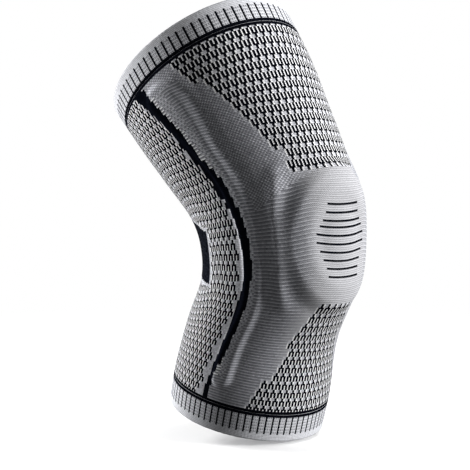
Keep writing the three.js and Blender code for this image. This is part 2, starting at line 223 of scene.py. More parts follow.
def past_channel(at, half_width):
    """How far a place is past the straight part of the channel, whose ends are round."""
    top_end = at - (CHANNEL["top"] - half_width)
    bottom_end = CHANNEL["bottom"] + half_width - at
    return np.maximum(np.maximum(top_end, bottom_end), 0)


def relief(angle, at):
    """Ring + channel ridge - groove in front of the channel + fold beside the kneecap, each an eased step
    of a distance or a bell curve exp(-d²)."""
    distance = ring_distance(angle, at)
    in_hole = RING["hole"] - RING_SLOPES["inside_hole"]
    over_hole = RING["dish"] + (1 - RING["dish"]) * ease(distance, in_hole, RING_SLOPES["crown"])
    ring = RING["rise"] * ease(distance, RING_SLOPES["foot"], RING_SLOPES["shoulder"]) * over_hole

    half_width = through(channel_at, channel_half_widths, at)
    across = from_channel(angle, at)
    from_ridge = np.hypot(across, past_channel(at, half_width)) / half_width
    ridge = CHANNEL["rise"] * ease(from_ridge, CHANNEL["foot"], CHANNEL["shoulder"])

    low = ease(at - CHANNEL["bottom"] - VALLEY_ENDS["low_gap"], 0, VALLEY_ENDS["low_fade"])
    top = ease(CHANNEL["top"] - VALLEY_ENDS["top_gap"] - at, 0, VALLEY_ENDS["top_fade"])
    from_valley = (across + half_width + VALLEY["offset"]) / VALLEY["width"]
    valley = VALLEY["depth"] * np.exp(-(from_valley**2)) * low * top

    from_middle = np.abs(at - RING["centre"])
    bowed = FOLD["angle"] - FOLD["bow"] * (from_middle / FOLD_HALF_LENGTH) ** 2
    window = ease(from_middle, FOLD_HALF_LENGTH, FOLD_HALF_LENGTH - FOLD_FADE)
    fold = FOLD["rise"] * np.exp(-(((side_of(angle) - bowed) / FOLD["width"]) ** 2)) * window
    return ring + ridge - valley + fold


def knit_point(angle, at, depth=0.0):
    """Point of the knit's outer face, moved in by depth."""
    return leg_point(angle, at, relief(angle, at) - depth)


# %% [markdown]
# ## Helpers for meshes and materials
# Every piece is a grid of points, rows by columns. Its columns always close on themselves, and its rows do
# too or end pinched shut, so that it has no open edge. Colours are written as hex values, as a paint chart
# gives them, and one function turns them into the linear values that the renderer works with.

# %% Mesh and material helpers
def linear(hex_colour):
    """sRGB hex to linear RGBA: c / 12.92 below 0.04045, else ((c + 0.055) / 1.055)^2.4."""
    channels = [int(hex_colour[i : i + 2], 16) / 255 for i in (1, 3, 5)]
    values = [c / 12.92 if c <= 0.04045 else ((c + 0.055) / 1.055) ** 2.4 for c in channels]
    return (*values, 1.0)


def grid_faces(rows, columns, wrap_rows=True):
    """Corner numbers of the quads between neighbouring rows and columns, as an array (quads, 4)."""
    r = np.arange(rows if wrap_rows else rows - 1)[:, None]
    c = np.arange(columns)[None, :]
    below = (r + 1) % rows
    right = (c + 1) % columns
    quads = [r * columns + c, r * columns + right, below * columns + right, below * columns + c]
    return np.stack(np.broadcast_arrays(*quads), -1).reshape(-1, 4)


def make_mesh(name, points, faces, material):
    """Object with its place in its mesh, from points in mm and faces as corner numbers."""
    mesh = bpy.data.meshes.new(name)
    mesh.from_pydata((points.reshape(-1, 3) * MM).tolist(), [], faces.tolist())
    mesh.polygons.foreach_set("use_smooth", np.ones(len(mesh.polygons), bool))
    mesh.materials.append(material)
    piece = bpy.data.objects.new(name, mesh)
    bpy.context.scene.collection.objects.link(piece)
    return piece


def outward(points, faces):
    """Faces turned so that the closed surface's volume, a sum of a · (b × c) / 6, is positive."""
    a, b, c, d = (points.reshape(-1, 3)[faces[:, k]] for k in range(4))
    volume = np.einsum("ij,ij", a, np.cross(b, c)) + np.einsum("ij,ij", a, np.cross(c, d))
    return faces if volume > 0 else faces[:, ::-1]


def grid_piece(name, points, material, wrap_rows=True):
    """Closed piece from a grid of points."""
    faces = outward(points, grid_faces(*points.shape[:2], wrap_rows))
    return make_mesh(name, points, faces, material)


def dress(piece, node, slot, flat=None, area=None):
    """The piece stands for its solid and rides with the part's one body. The slot, the record's finish, is
    not used. flat, the flat size of a knitted piece's relaxed knit, (width, length) in mm, and area, where
    that is no rectangle its area in mm², are not used."""
    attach(piece, "root")
    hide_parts(node)
    print(piece.name, "has", len(piece.data.polygons), "faces")


def add_node(tree, kind, settings=None, inputs=None):
    """A node with its settings, and with each input set to a value or linked to a socket."""
    node = tree.nodes.new(kind)
    for key, value in (settings or {}).items():
        setattr(node, key, value)
    for key, value in (inputs or {}).items():
        if isinstance(value, bpy.types.NodeSocket):
            tree.links.new(value, node.inputs[key])
        else:
            node.inputs[key].default_value = value
    return node


def drifting_colour(tree, shader, scale, low, high):
    """Base colour that drifts from low to high with a noise fixed to the piece, whose value it returns."""
    place = add_node(tree, "ShaderNodeTexCoord")
    inputs = {"Vector": place.outputs["Object"], "Scale": scale}
    noise = add_node(tree, "ShaderNodeTexNoise", inputs=inputs).outputs["Fac"]
    ends = {"Factor": noise, "A": linear(low), "B": linear(high)}
    colour = add_node(tree, "ShaderNodeMix", {"data_type": "RGBA"}, ends)
    tree.links.new(colour.outputs["Result"], shader.inputs["Base Color"])
    return noise


def new_material(name, **sockets):
    """Empty material with a Principled shader, whose sockets are set by name."""
    material = bpy.data.materials.new(name)
    material.use_nodes = True
    tree = material.node_tree
    shader = tree.nodes["Principled BSDF"]
    for key, value in sockets.items():
        shader.inputs[key.replace("_", " ")].default_value = value
    return material, tree, shader


# %% [markdown]
# ## Where each stitch lies
# The tube has 288 wales, four for each repeat of its pattern, and 225 courses. Wales share the girth evenly.
# Courses don't keep to the same place along the axis: the front of the bent knee is much longer than its
# back, and so the courses fan out in front. A small table says where a few courses cross a few lines along
# the leg, and smooth curves give all others.

# %% Stitch grid
WALES = 288
COURSES = 225
BODY_LOW = 22.3  # along the axis, where the calf cuff's seam is
BODY_HIGH = 276.0

# Place along the axis of these courses, on the lines at these angles from the front
COURSE_ANGLES = np.radians([0.0, 12.0, 60.0, 90.0, 130.0, 180.0])
COURSE_ROWS = [
    (0, [BODY_LOW] * 6),
    (39, [65.6, 65.6, 64.0, 61.0, 55.0, 53.0]),
    (78, [108.5, 108.5, 105.5, 100.0, 87.0, 83.0]),
    (111, [139.0, 139.0, 139.0, 138.0, 134.0, 132.0]),
    (144, [168.5, 168.5, 171.0, 175.0, 187.0, 191.0]),
    (183, [210.0, 210.0, 217.0, 222.0, 236.0, 240.0]),
    (222, [272.0, 272.0, 272.3, 272.5, 273.3, 273.5]),
    (COURSES, [BODY_HIGH] * 6),
]
course_keys = np.array([float(row[0]) for row in COURSE_ROWS])
course_table = np.array([row[1] for row in COURSE_ROWS])
BOW = {"rise": 1.6, "angle": math.radians(24), "fade": math.radians(46)}
BOW_WINDOW = {"low": 105.0, "high": 172.0, "ease": 16.0}
ARC_STEPS = 720


def kneecap_bow(side, at):
    """Rise of the courses to each side of the kneecap: rise · (side / angle)², held past that angle, and
    faded out towards the sides, the thigh and the calf."""
    starts = ease(at, BOW_WINDOW["low"], BOW_WINDOW["low"] + BOW_WINDOW["ease"])
    ends = ease(at, BOW_WINDOW["high"], BOW_WINDOW["high"] - BOW_WINDOW["ease"])
    across = np.minimum(side / BOW["angle"], 1) ** 2 * ease(side, BOW["fade"], BOW["angle"])
    return BOW["rise"] * across * (starts * ends)


def course_at(course, angle):
    """Place along the axis of a course at an angle: curves through the table along each of its lines,
    joined by eased steps from one line to the next, and bowed over the kneecap."""
    side = side_of(angle)
    lines = np.stack([through(course_keys, column, course) for column in course_table.T])
    k = np.clip(np.searchsorted(COURSE_ANGLES, side, side="right") - 1, 0, len(COURSE_ANGLES) - 2)
    share = ease(side, COURSE_ANGLES[k], COURSE_ANGLES[k + 1])
    low = np.take_along_axis(lines, k[None], 0)[0]
    high = np.take_along_axis(lines, k[None] + 1, 0)[0]
    level = low + (high - low) * share
    return level + kneecap_bow(side, level)


def wale_angles(at, wales):
    """Angles that share the section's girth evenly: the length round the ellipse is summed and inverted."""
    around = np.linspace(-math.pi, math.pi, ARC_STEPS + 1)
    middle = (around[1:] + around[:-1]) / 2
    half_width = through(section_at, half_widths, np.float64(at))
    half_depth = through(section_at, half_depths, np.float64(at))
    pieces = np.hypot(half_width * np.cos(middle), half_depth * np.sin(middle))
    arc = np.concatenate([[0], np.cumsum(pieces)])
    return np.interp(wales / WALES, arc / arc[-1] - 0.5, around)


def stitch_places(courses, wales):
    """Angle and place along the axis for each course and wale, as two arrays (courses, wales). Wale 0 is in
    front, and wales past half way round lie on the other side."""
    half_turned = (wales + WALES / 2) % WALES - WALES / 2
    nominal = through(course_keys, course_table[:, 3], courses)
    angle = np.stack([wale_angles(at, half_turned) for at in nominal])
    at = course_at(np.broadcast_to(courses[:, None], angle.shape), angle)
    return angle, at


stitch_angle, stitch_at = stitch_places(np.arange(COURSES) + 0.5, np.arange(WALES) + 0.5)
stitch_side = np.degrees(side_of(stitch_angle))
print("stitches:", stitch_angle.size)

# %% [markdown]
# ## The knitting chart
# Four zones share the tube. In front of the thigh and of the calf, and all round the back, a small
# fork-shaped figure repeats over 4 wales and 6 courses, each row set off by half a repeat. The sides are a
# grey check over the knee and fine lines below it. A black stripe runs down each side behind the stay, and a
# black mesh window lies in the hollow of the knee. Each is a rule on the grid of stitches, so the chart is
# worked out, not drawn.

# %% Chart
LIGHT, GREY, SIDE, LINE, CUFF, BLACK, MESH = range(7)

# The figure from its top course down: B black, L light, G grey
FIGURE = ["BLBL", "BLBL", "BLBL", "BBBL", "LBGG", "LBGG"]
figure_yarn = np.array([[{"B": BLACK, "L": LIGHT, "G": GREY}[letter] for letter in row] for row in FIGURE])
FIGURE_WALES = 4
FIGURE_COURSES = 6
TURNOVER = 114  # course where the figure turns upside down, behind the knee
FIRST_THIGH_COURSE = 144
LAST_CALF_COURSE = 78
LAST_FIGURE_COURSE = 224
LINE_COURSES = 2  # courses of the black line on each side of a cuff's seam

# Edges of the zones, as (angle from the front in degrees, place along the axis)
THIGH_PANEL = [(30, 168), (31, 176), (36, 184), (44, 204), (50, 220), (56, 240), (64, 262), (69, 276)]
CALF_PANEL = [(49, 20), (40, 40), (31, 60), (25, 80), (21, 98), (18, 109)]
BACK_PANEL = [
    (86, 20), (82.5, 40), (79, 70), (76, 100), (75, 120), (76.5, 144), (84, 180), (92, 220), (91, 234),
    (97.5, 268), (98, 276),
]
STRIPE = [  # front edge, back edge, place along the axis
    (77, 80.5, 22), (75, 79, 40), (71.5, 76.5, 54), (68, 75, 70), (67, 74, 85), (66, 73.5, 110),
    (64.5, 70, 120), (66, 71.5, 140), (69, 75, 152), (73, 82, 170), (77, 85, 186), (81.5, 88.5, 200),
    (82.5, 90, 222), (84, 90.5, 235), (87.5, 95.5, 250), (89, 97.5, 262), (91.5, 100, 270), (94, 102, 276),
]
CHANNEL_MARGIN = 9.0  # the channel's own pattern stops this far from its ends
MESH_WINDOW = {"edge": 107.0, "bottom": 106.0, "border": 2.5, "side_border": 2.0}

WINDOW_TOP = [(110, 151.0), (136, 172.0), (180, 176.0)]
CHECK_ABOVE = [(0, 148), (40, 136), (60, 128), (75, 118)]
PAD_LINES = {"first": 121.8, "last": 153.0, "count": 10, "reach": 24.0, "end_reach": 13.8}


def edge_at(rows, at, column=0):
    """Angle of a zone's edge at a place along the axis, straight from row to row."""
    table = sorted((row[-1], row[column]) for row in rows)
    return np.interp(at, [row[0] for row in table], [row[1] for row in table])


def figure_cell(course, wale, inverted):
    """Yarn of the figure at a stitch, and the middle course and wale of the figure that it is part of."""
    row = course // FIGURE_COURSES
    shift = np.where(row % 2 == 0, FIGURE_WALES // 2, 0)
    column = (wale + shift) % FIGURE_WALES
    line = course % FIGURE_COURSES
    yarn = figure_yarn[np.where(inverted, line, FIGURE_COURSES - 1 - line), column]
    middle_course = row * FIGURE_COURSES + FIGURE_COURSES // 2
    middle_wale = (wale - column + 1) % WALES
    return yarn, np.clip(middle_course, 0, COURSES - 1), middle_wale


course_index, wale_index = np.meshgrid(np.arange(COURSES), np.arange(WALES), indexing="ij")
yarn_of_figure, centre_course, centre_wale = figure_cell(course_index, wale_index, course_index < TURNOVER)
centre_side = stitch_side[centre_course, centre_wale]
centre_at = stitch_at[centre_course, centre_wale]

# The sides: a fine check over the knee, lines along the courses below, and the stay's channel has its own
check = (course_index + wale_index) % 2 == 0
lines = course_index % 2 == 0
dots = lines & ((course_index // 2 + wale_index) % 2 == 0)
above_knee = course_index > np.interp(stitch_side, *zip(*CHECK_ABOVE))
chart = np.where(above_knee, np.where(check, GREY, SIDE), np.where(lines, LINE, SIDE))
over_channel = from_channel(stitch_angle, stitch_at) / through(channel_at, channel_half_widths, stitch_at)
beside_stay = past_channel(stitch_at, CHANNEL_MARGIN) == 0
# Bands along the channel, in half widths from its middle line: lines, a dotted crown, and lighter lines
CHANNEL_BANDS = [
    (-1.25, -0.3, lines, (LINE, SIDE)),
    (-0.3, 0.2, dots, (SIDE, GREY)),
    (0.2, 1.0, lines, (LIGHT, SIDE)),
]
for front, back, marks, (marked, ground) in CHANNEL_BANDS:
    in_band = beside_stay & (over_channel > front) & (over_channel < back)
    chart = np.where(in_band, np.where(marks, marked, ground), chart)

in_thigh = (course_index >= FIRST_THIGH_COURSE) & (centre_side < edge_at(THIGH_PANEL, centre_at))
in_calf = (course_index < LAST_CALF_COURSE) & (centre_side < edge_at(CALF_PANEL, centre_at))
in_back = centre_side > edge_at(BACK_PANEL, centre_at)
figured = (in_thigh | in_calf | in_back) & (course_index < LAST_FIGURE_COURSE)
chart = np.where(figured, yarn_of_figure, chart)

row_middle = course_index // FIGURE_COURSES * FIGURE_COURSES + FIGURE_COURSES // 2
step_at = stitch_at[np.minimum(row_middle, COURSES - 1), wale_index]  # its edges step with the figures' rows
stripe_front = edge_at(STRIPE, step_at, 0)
stripe_back = edge_at(STRIPE, step_at, 1)
behind_stripe = (stitch_side > stripe_back) & ~figured
chart = np.where(behind_stripe, GREY, chart)
chart = np.where((stitch_side > stripe_front) & (stitch_side < stripe_back), BLACK, chart)

window_top = np.interp(stitch_side, *zip(*WINDOW_TOP))
for yarn, border, side_border in ((GREY, MESH_WINDOW["border"], MESH_WINDOW["side_border"]), (MESH, 0, 0)):
    in_window = stitch_side > MESH_WINDOW["edge"] - side_border
    in_window &= (stitch_at > MESH_WINDOW["bottom"] - border) & (stitch_at < window_top + border)
    chart = np.where(in_window, yarn, chart)

# Ten lines across the kneecap, each one course, which widen to the middle one
line_at = np.linspace(PAD_LINES["first"], PAD_LINES["last"], PAD_LINES["count"])
from_middle_line = np.abs(np.linspace(-1, 1, PAD_LINES["count"]))
line_reach = PAD_LINES["reach"] + (PAD_LINES["end_reach"] - PAD_LINES["reach"]) * from_middle_line
for place, reach in zip(line_at, line_reach):
    course_of_line = np.argmin(np.abs(stitch_at[:, 0] - place))
    chart[course_of_line, stitch_side[course_of_line] < reach] = BLACK
chart[-LINE_COURSES:] = BLACK
chart[:LINE_COURSES] = BLACK
print("black stitches:", int((chart == BLACK).sum()))

# %% [markdown]
# ## The knit's finish
# The yarn is elastane covered with matt nylon, so it is rough and without gloss. Each stitch is a small V of
# two legs. The bump draws them from the stitch grid's own coordinates, u in wales and v in courses, and the
# chart's yarn is a colour at the corners of each quad. The front of the knee is knitted with finer loops, in
# which the lines of the sides fade.

# %% Knit material
YARNS = {
    LIGHT: "#fbfbfd", GREY: "#c3c4ca", SIDE: "#8a8b91", LINE: "#bcbdc3", CUFF: "#dcdde2", BLACK: "#0b0d14",
    MESH: "#181a20",
}
YARN_SPREAD = {LIGHT: 0.03, GREY: 0.12, SIDE: 0.09, LINE: 0.09, CUFF: 0.05, BLACK: 0.15, MESH: 0.35}
KNEE_FRONT = {"colour": "#bbbbbe", "from": 38.0, "to": 18.0, "share": 0.85}
YARN_HEIGHT = 0.35 * MM  # relief of a stitch
# shade and ground set the painted shade of the stitches: colour × (ground + shade · height)
STITCH = {"slant": 0.35, "roundness": 0.35, "bump": 0.8, "shade": 0.6, "ground": 0.5}
BLACK_SPREAD = 0.2  # share of a light wale that the fuller black loops beside it cover


def knit_material(name):
    """Stitch height sin(πt)^roundness · sin(πy), where t is the distance from the wale's middle, 0 to 1, and
    y the place in a course, which rises with t by the slant to make the V. Painted shade darkens low yarn."""
    material, tree, shader = new_material(name, Roughness=0.9, Specular_IOR_Level=0.0)
    yarn = add_node(tree, "ShaderNodeAttribute", {"attribute_name": "yarn"})
    stitch = add_node(tree, "ShaderNodeUVMap", {"uv_map": "stitch"})
    parts = add_node(tree, "ShaderNodeSeparateXYZ", inputs={"Vector": stitch.outputs["UV"]})

    def calculate(operation, *values):
        return add_node(tree, "ShaderNodeMath", {"operation": operation}, dict(enumerate(values))).outputs[0]

    in_wale = calculate("FRACT", parts.outputs["X"])
    leg = calculate("MULTIPLY", calculate("ABSOLUTE", calculate("SUBTRACT", in_wale, 0.5)), 2.0)
    raised = calculate("ADD", parts.outputs["Y"], calculate("MULTIPLY", leg, STITCH["slant"]))
    across_leg = calculate("SINE", calculate("MULTIPLY", leg, math.pi))
    along_leg = calculate("SINE", calculate("MULTIPLY", calculate("FRACT", raised), math.pi))
    rounded = calculate("POWER", calculate("MAXIMUM", across_leg, 0.0), STITCH["roundness"])
    height = calculate("MULTIPLY", rounded, calculate("MAXIMUM", along_leg, 0.0))

    beside = add_node(tree, "ShaderNodeAttribute", {"attribute_name": "beside"})
    sides = add_node(tree, "ShaderNodeSeparateColor", inputs={"Color": beside.outputs["Color"]})
    at_left = calculate("MULTIPLY", sides.outputs["Red"], calculate("LESS_THAN", in_wale, BLACK_SPREAD))
    near_right = calculate("GREATER_THAN", in_wale, 1 - BLACK_SPREAD)
    at_right = calculate("MULTIPLY", sides.outputs["Green"], near_right)
    covered = calculate("MAXIMUM", at_left, at_right)
    shown = add_node(
        tree, "ShaderNodeMix", {"data_type": "RGBA"},
        {"Factor": covered, "A": yarn.outputs["Color"], "B": linear(YARNS[BLACK])},
    )
    # painted shade: the yarn's colour is darkened in the gaps between the loops and lightened on their tops
    shade = calculate("MULTIPLY_ADD", height, STITCH["shade"], STITCH["ground"])
    colour = add_node(
        tree, "ShaderNodeVectorMath", {"operation": "SCALE"}, {0: shown.outputs["Result"], "Scale": shade}
    )
    relief_of_yarn = {"Strength": STITCH["bump"], "Distance": YARN_HEIGHT, "Height": height}
    bump = add_node(tree, "ShaderNodeBump", inputs=relief_of_yarn)
    tree.links.new(colour.outputs[0], shader.inputs["Base Color"])
    tree.links.new(bump.outputs["Normal"], shader.inputs["Normal"])
    return material


body_knit = knit_material("elastic_nylon_knit")


def paint_stitches(piece, colours, u, v, beside=None):
    """Colours (quads, 3) at each quad's corners, the stitch coordinates of the corners (quads, 4), and
    whether a light stitch has a black one before and after it in its course (quads, 2)."""
    mesh = piece.data
    beside = np.zeros((len(colours), 2)) if beside is None else beside
    for name, values in (("yarn", colours), ("beside", beside)):
        layer = mesh.color_attributes.new(name, "FLOAT_COLOR", "CORNER")
        rgba = np.ones((len(values), 4, 4), np.float32)
        rgba[:, :, : values.shape[1]] = values[:, None, :]
        layer.data.foreach_set("color", rgba.ravel())
    stitch = mesh.uv_layers.new(name="stitch")
    stitch.data.foreach_set("uv", np.stack([u, v], -1).astype(np.float32).ravel())


def yarn_colours(kinds, seed):
    """Linear colour of each stitch, a little lighter or darker than its yarn."""
    random = np.random.default_rng(seed)
    colours = np.array([linear(YARNS[kind])[:3] for kind in sorted(YARNS)])[kinds]
    spread = np.array([YARN_SPREAD[kind] for kind in sorted(YARN_SPREAD)])[kinds]
    return np.clip(colours * (1 + spread * random.standard_normal(kinds.shape))[..., None], 0, 1)


# %% [markdown]
# ## The body
# The body is one closed wall. Its outer face has a quad for each stitch. Its inner face, which lies on the
# leg, has a row for every third course, and both share the wales, so that the wall closes at its seams.

# %% Body
BODY_WALL = 1.8
BODY_FLAT = (350.0, 260.0)  # round the relaxed tube, and along it
INNER_STEP = 3  # courses for each row of the inner face


def grid_corners(values_by_row, values_by_column, rows, columns):
    """Values at the four corners of each quad, in the order of grid_faces: for rows, then for columns."""
    low, high = values_by_row
    left, right = values_by_column
    v = np.stack([low, low, high, high], -1)[:, None, :] + np.zeros((rows, columns, 4))
    u = np.stack([left, right, right, left], -1)[None, :, :] + np.zeros((rows, columns, 4))
    return u.reshape(-1, 4), v.reshape(-1, 4)


def knit_tube(name, profile_points, kinds, row_v, material, seed, evenness=None):
    """Closed wall from rows of points (rows, wales, 3), with a yarn for each quad and v for each row.
    Evenness is how far a quad's yarn takes the plain colour of the knee's front instead."""
    rows, columns = profile_points.shape[:2]
    faces = grid_faces(rows, columns)
    turned = outward(profile_points, faces)
    piece = make_mesh(name, profile_points, turned, material)
    step = WALES / columns
    wales = np.arange(columns) * step
    u, v = grid_corners((row_v, np.roll(row_v, -1)), (wales, wales + step), rows, columns)
    if turned is not faces:
        u, v = u[:, ::-1], v[:, ::-1]
    black = (kinds == BLACK) & (step == 1)
    beside = np.stack([np.roll(black, 1, axis=1) & ~black, np.roll(black, -1, axis=1) & ~black], -1)
    colours = yarn_colours(kinds, seed)
    if evenness is not None:
        plain = (evenness * ((kinds == SIDE) | (kinds == LINE)))[..., None]
        colours = colours + (np.array(linear(KNEE_FRONT["colour"])[:3]) - colours) * plain
    paint_stitches(piece, colours.reshape(-1, 3), u, v, beside.reshape(-1, 2))
    return piece


def body_piece():
    """Outer face up from the calf, then the inner face back down, with one narrow row at each seam."""
    outer_courses = np.arange(COURSES + 1.0)
    inner_courses = outer_courses[::-INNER_STEP]
    wales = np.arange(float(WALES))
    outer = knit_point(*stitch_places(outer_courses, wales))
    inner = knit_point(*stitch_places(inner_courses, wales), BODY_WALL)
    points = np.concatenate([outer, inner])
    inner_kinds = np.full((len(inner_courses), WALES), GREY)
    kinds = np.concatenate([chart, np.full((1, WALES), GREY), inner_kinds])
    row_v = np.concatenate([outer_courses, inner_courses])
    evenness = np.zeros(kinds.shape)
    evenness[:COURSES] = KNEE_FRONT["share"] * ease(stitch_side, KNEE_FRONT["from"], KNEE_FRONT["to"])
    return knit_tube("knit_sleeve", points, kinds, row_v, body_knit, seed=11, evenness=evenness)


dress(body_piece(), "knit_body", "body_knit", flat=BODY_FLAT)

# %% [markdown]
# ## The cuffs
# Each cuff is knitted as a rib and turned over at its free edge. Short black ticks, one for each repeat of
# the body's pattern, rise from a solid black line at the seam. The ribs are real relief: a fine wave round
# the girth.

# %% Cuffs
CUFF_WALL = 2.2
CALF_CUFF = 22.0
THIGH_CUFF = 24.0
SEAM_GAP = 0.3
RIM_RADIUS = 0.9
RIM_ROWS = 7
RIB_DEPTH = 0.12
RIB_ENDS = 0.7 * CUFF_WALL  # the ribs fade out over the rim by this depth
CUFF_COLUMNS = WALES * 2
TICK_COLUMNS = 2
CALF_CUFF_FLAT = (340.0, 22.0)
THIGH_CUFF_FLAT = (420.0, 24.0)


def cuff_piece(name, seam, rim, courses, tick_courses, seed):
    """Wall whose profile goes along the outside, round the free edge by a half ellipse and back inside. The
    outside is lowered by RIB_DEPTH · (1 - cos(2π · wale / 2)) / 2, which gives a rib for each two wales."""
    towards_rim = 1 if rim > seam else -1
    edge = rim - towards_rim * RIM_RADIUS
    outside = np.linspace(seam, edge, courses + 1)
    turn = np.linspace(0, math.pi, RIM_ROWS + 2)[1:-1]
    middle = CUFF_WALL / 2
    round_at = edge + towards_rim * RIM_RADIUS * np.sin(turn)
    round_depth = middle - middle * np.cos(turn)
    inside = outside[::-2]
    at = np.concatenate([outside, round_at, inside])
    depth = np.concatenate([np.zeros(len(outside)), round_depth, np.full(len(inside), CUFF_WALL)])

    columns = np.arange(CUFF_COLUMNS) * WALES / CUFF_COLUMNS
    angle = np.stack([wale_angles(place, (columns + WALES / 2) % WALES - WALES / 2) for place in at])
    rib = RIB_DEPTH * (1 - np.cos(math.pi * (columns - 0.5))) / 2
    on_outside = ease(depth, RIB_ENDS, 0)[:, None]
    places = np.broadcast_to(at[:, None], angle.shape)
    points = knit_point(angle, places, depth[:, None] + rib * on_outside)

    kinds = np.full(angle.shape, CUFF)
    column = np.arange(CUFF_COLUMNS)
    kinds[:tick_courses:2, column % 2 == 1] = SIDE
    kinds[:tick_courses, column % (2 * FIGURE_WALES) < TICK_COLUMNS] = BLACK
    kinds[:LINE_COURSES] = BLACK
    row_v = np.concatenate([np.arange(len(outside) + len(turn)), np.arange(len(inside)) * 2.0])
    return knit_tube(name, points, kinds, row_v, body_knit, seed)


calf_rib = cuff_piece("calf_rib", CALF_CUFF, 0.0, courses=18, tick_courses=14, seed=12)
dress(calf_rib, "calf_cuff", "cuff_knit", flat=CALF_CUFF_FLAT)
thigh_seam = SLEEVE_LENGTH - THIGH_CUFF + SEAM_GAP
thigh_rib = cuff_piece("thigh_rib", thigh_seam, SLEEVE_LENGTH, courses=16, tick_courses=12, seed=13)
dress(thigh_rib, "thigh_cuff", "cuff_knit", flat=THIGH_CUFF_FLAT)

# %% [markdown]
# ## The gel ring and its pocket
# A soft silicone ring sits round the kneecap, between the knit and a thin inner layer. It is flat towards
# the leg and crowned towards the knit. Its section is carried round the oval of its outline.

# %% Gel ring
LAYER_GAP = 0.6
CLEARANCE = 0.4
CROWN_CLEARANCE = 1.2
POCKET_WALL = 1.0
RING_EDGE = {"share": 0.98, "thickness": 0.5}
SECTION_POINTS = 17
RING_POINTS = 120
PLACE_ROUNDS = 6
HALVINGS = 30
UNDER = CLEARANCE - LAYER_GAP - BODY_WALL  # lift of an insert's face towards the leg


def ring_places(shares, directions):
    """Angle and place along the axis of points in the ring's plane: the angle from the width at that place,
    and the place by halving, repeated until both agree."""
    across = RING["width"] / 2 * shares * np.sin(directions)
    height = RING["height"] / 2 * shares * np.cos(directions)
    at = np.full(np.broadcast(across, height).shape, RING["centre"])
    for _ in range(PLACE_ROUNDS):
        angle = np.arcsin(across / through(section_at, half_widths, at))
        low = np.zeros_like(at)
        high = np.full_like(at, SLEEVE_LENGTH)
        for _ in range(HALVINGS):
            middle = (low + high) / 2
            below = ring_height_at(angle, middle) < height
            low = np.where(below, middle, low)
            high = np.where(below, high, middle)
        at = (low + high) / 2
    return angle, at


def gel_material():
    """Silicone: moulded, soft and cloudy. Light goes in and comes out again, and the gloss is low."""
    material, tree, shader = new_material(
        "moulded_silicone", Roughness=0.32, IOR=1.41, Transmission_Weight=0.25, Subsurface_Weight=0.4,
        Subsurface_Scale=0.004,
    )
    drifting_colour(tree, shader, 90.0, "#dfe3e6", "#f1f3f3")
    return material


def gel_ring():
    """Flat face on the leg's side, and a crown √sin(πs) across the section, as high as the knit leaves
    room for."""
    directions = np.linspace(0, 2 * math.pi, RING_POINTS + 1)[:-1, None]
    shares = np.linspace(RING["hole"], RING_EDGE["share"], SECTION_POINTS)[None, :]
    angle, at = ring_places(shares, directions)
    section = np.sqrt(np.sin(math.pi * np.linspace(0, 1, SECTION_POINTS)).clip(0))
    under = leg_point(angle, at, UNDER)
    edge = UNDER + RING_EDGE["thickness"]
    roof = relief(angle, at) - BODY_WALL - CROWN_CLEARANCE
    over = leg_point(angle, at, edge + (roof - edge) * section)
    points = np.concatenate([under, over[:, ::-1]], axis=1)
    return grid_piece("gel_kneecap_ring", points, gel_material())


dress(gel_ring(), "patella_ring", "gel")

# %% [markdown]
# ## The inner layers
# The ring and the stays are held by thin knitted layers on the leg's side. Each is a strip that follows the
# leg form below the body's wall. Its ends are pinched shut, as a sewn-on layer's are.

# %% Pocket layers
POCKET_MARGIN = 1.06  # of the ring's outline
POCKET_SQUARENESS = 2.6  # 2 would be an ellipse
POCKET_END = 0.06  # (width of its flat ends / full width)²
RING_POCKET = {"flat": (83.0, 110.0), "area": 7800.0}
STAY_POCKET = {"flat": (30.0, 230.0), "area": 4300.0}
END_WIDTH = 0.4  # of a channel's half width
END_INSET = 1.0
RING_POCKET_ROWS, RING_POCKET_COLUMNS = 70, 60
STAY_POCKET_ROWS, STAY_POCKET_COLUMNS = 190, 16
LAYER_SEED = 14
POCKET_TOP = -BODY_WALL - LAYER_GAP


def layer_strip(at, edges, columns, top, bottom):
    """Closed strip of a layer: over its top from edge to edge, back under it, with its ends closed."""
    share = np.linspace(0, 1, columns)
    start, end = edges(at)
    angle = start[:, None] + (end - start)[:, None] * share
    places = np.broadcast_to(at[:, None], angle.shape)
    over = leg_point(angle, places, top)
    under = leg_point(angle, places, bottom)
    rows = np.concatenate([over, under[:, ::-1]], axis=1)
    middle = (over + under) / 2
    ends = np.concatenate([middle, middle[:, ::-1]], axis=1)
    return np.concatenate([ends[:1], rows, ends[-1:]])


def knit_strip(name, points):
    """Plain knitted piece from a strip, with a stitch for each quad."""
    rows, columns = points.shape[:2]
    piece = grid_piece(name, points, body_knit, wrap_rows=False)
    courses, wales = np.arange(rows - 1.0), np.arange(float(columns))
    u, v = grid_corners((courses, courses + 1), (wales, wales + 1), rows - 1, columns)
    colours = yarn_colours(np.full(len(piece.data.polygons), SIDE), LAYER_SEED)
    paint_stitches(piece, colours, u, v)
    return piece


def ring_pocket():
    """Strip across the front whose half width follows (1 - |height|^squareness)^½ and stops at flat ends."""
    low, high = (ring_places(POCKET_MARGIN, np.array([end]))[1][0] for end in (math.pi, 0.0))

    def edges(at):
        height = ring_height_at(np.zeros_like(at), at) / (POCKET_MARGIN * RING["height"] / 2)
        share = np.sqrt(np.maximum(1 - np.abs(height) ** POCKET_SQUARENESS, POCKET_END))
        across = POCKET_MARGIN * RING["width"] / 2 * share
        angle = np.arcsin(across / through(section_at, half_widths, at))
        return -angle, angle

    places = np.linspace(low, high, RING_POCKET_ROWS)
    points = layer_strip(places, edges, RING_POCKET_COLUMNS, POCKET_TOP, POCKET_TOP - POCKET_WALL)
    return knit_strip("kneecap_pocket", points)


dress(ring_pocket(), "patella_pocket", "pocket_knit", **RING_POCKET)


def beside_channel(side, across, at):
    """Angle of a point so many mm round the leg from the channel's middle line, on side 1 or -1."""
    return side * (through(channel_at, channel_angles, at) + across / channel_speed(at))


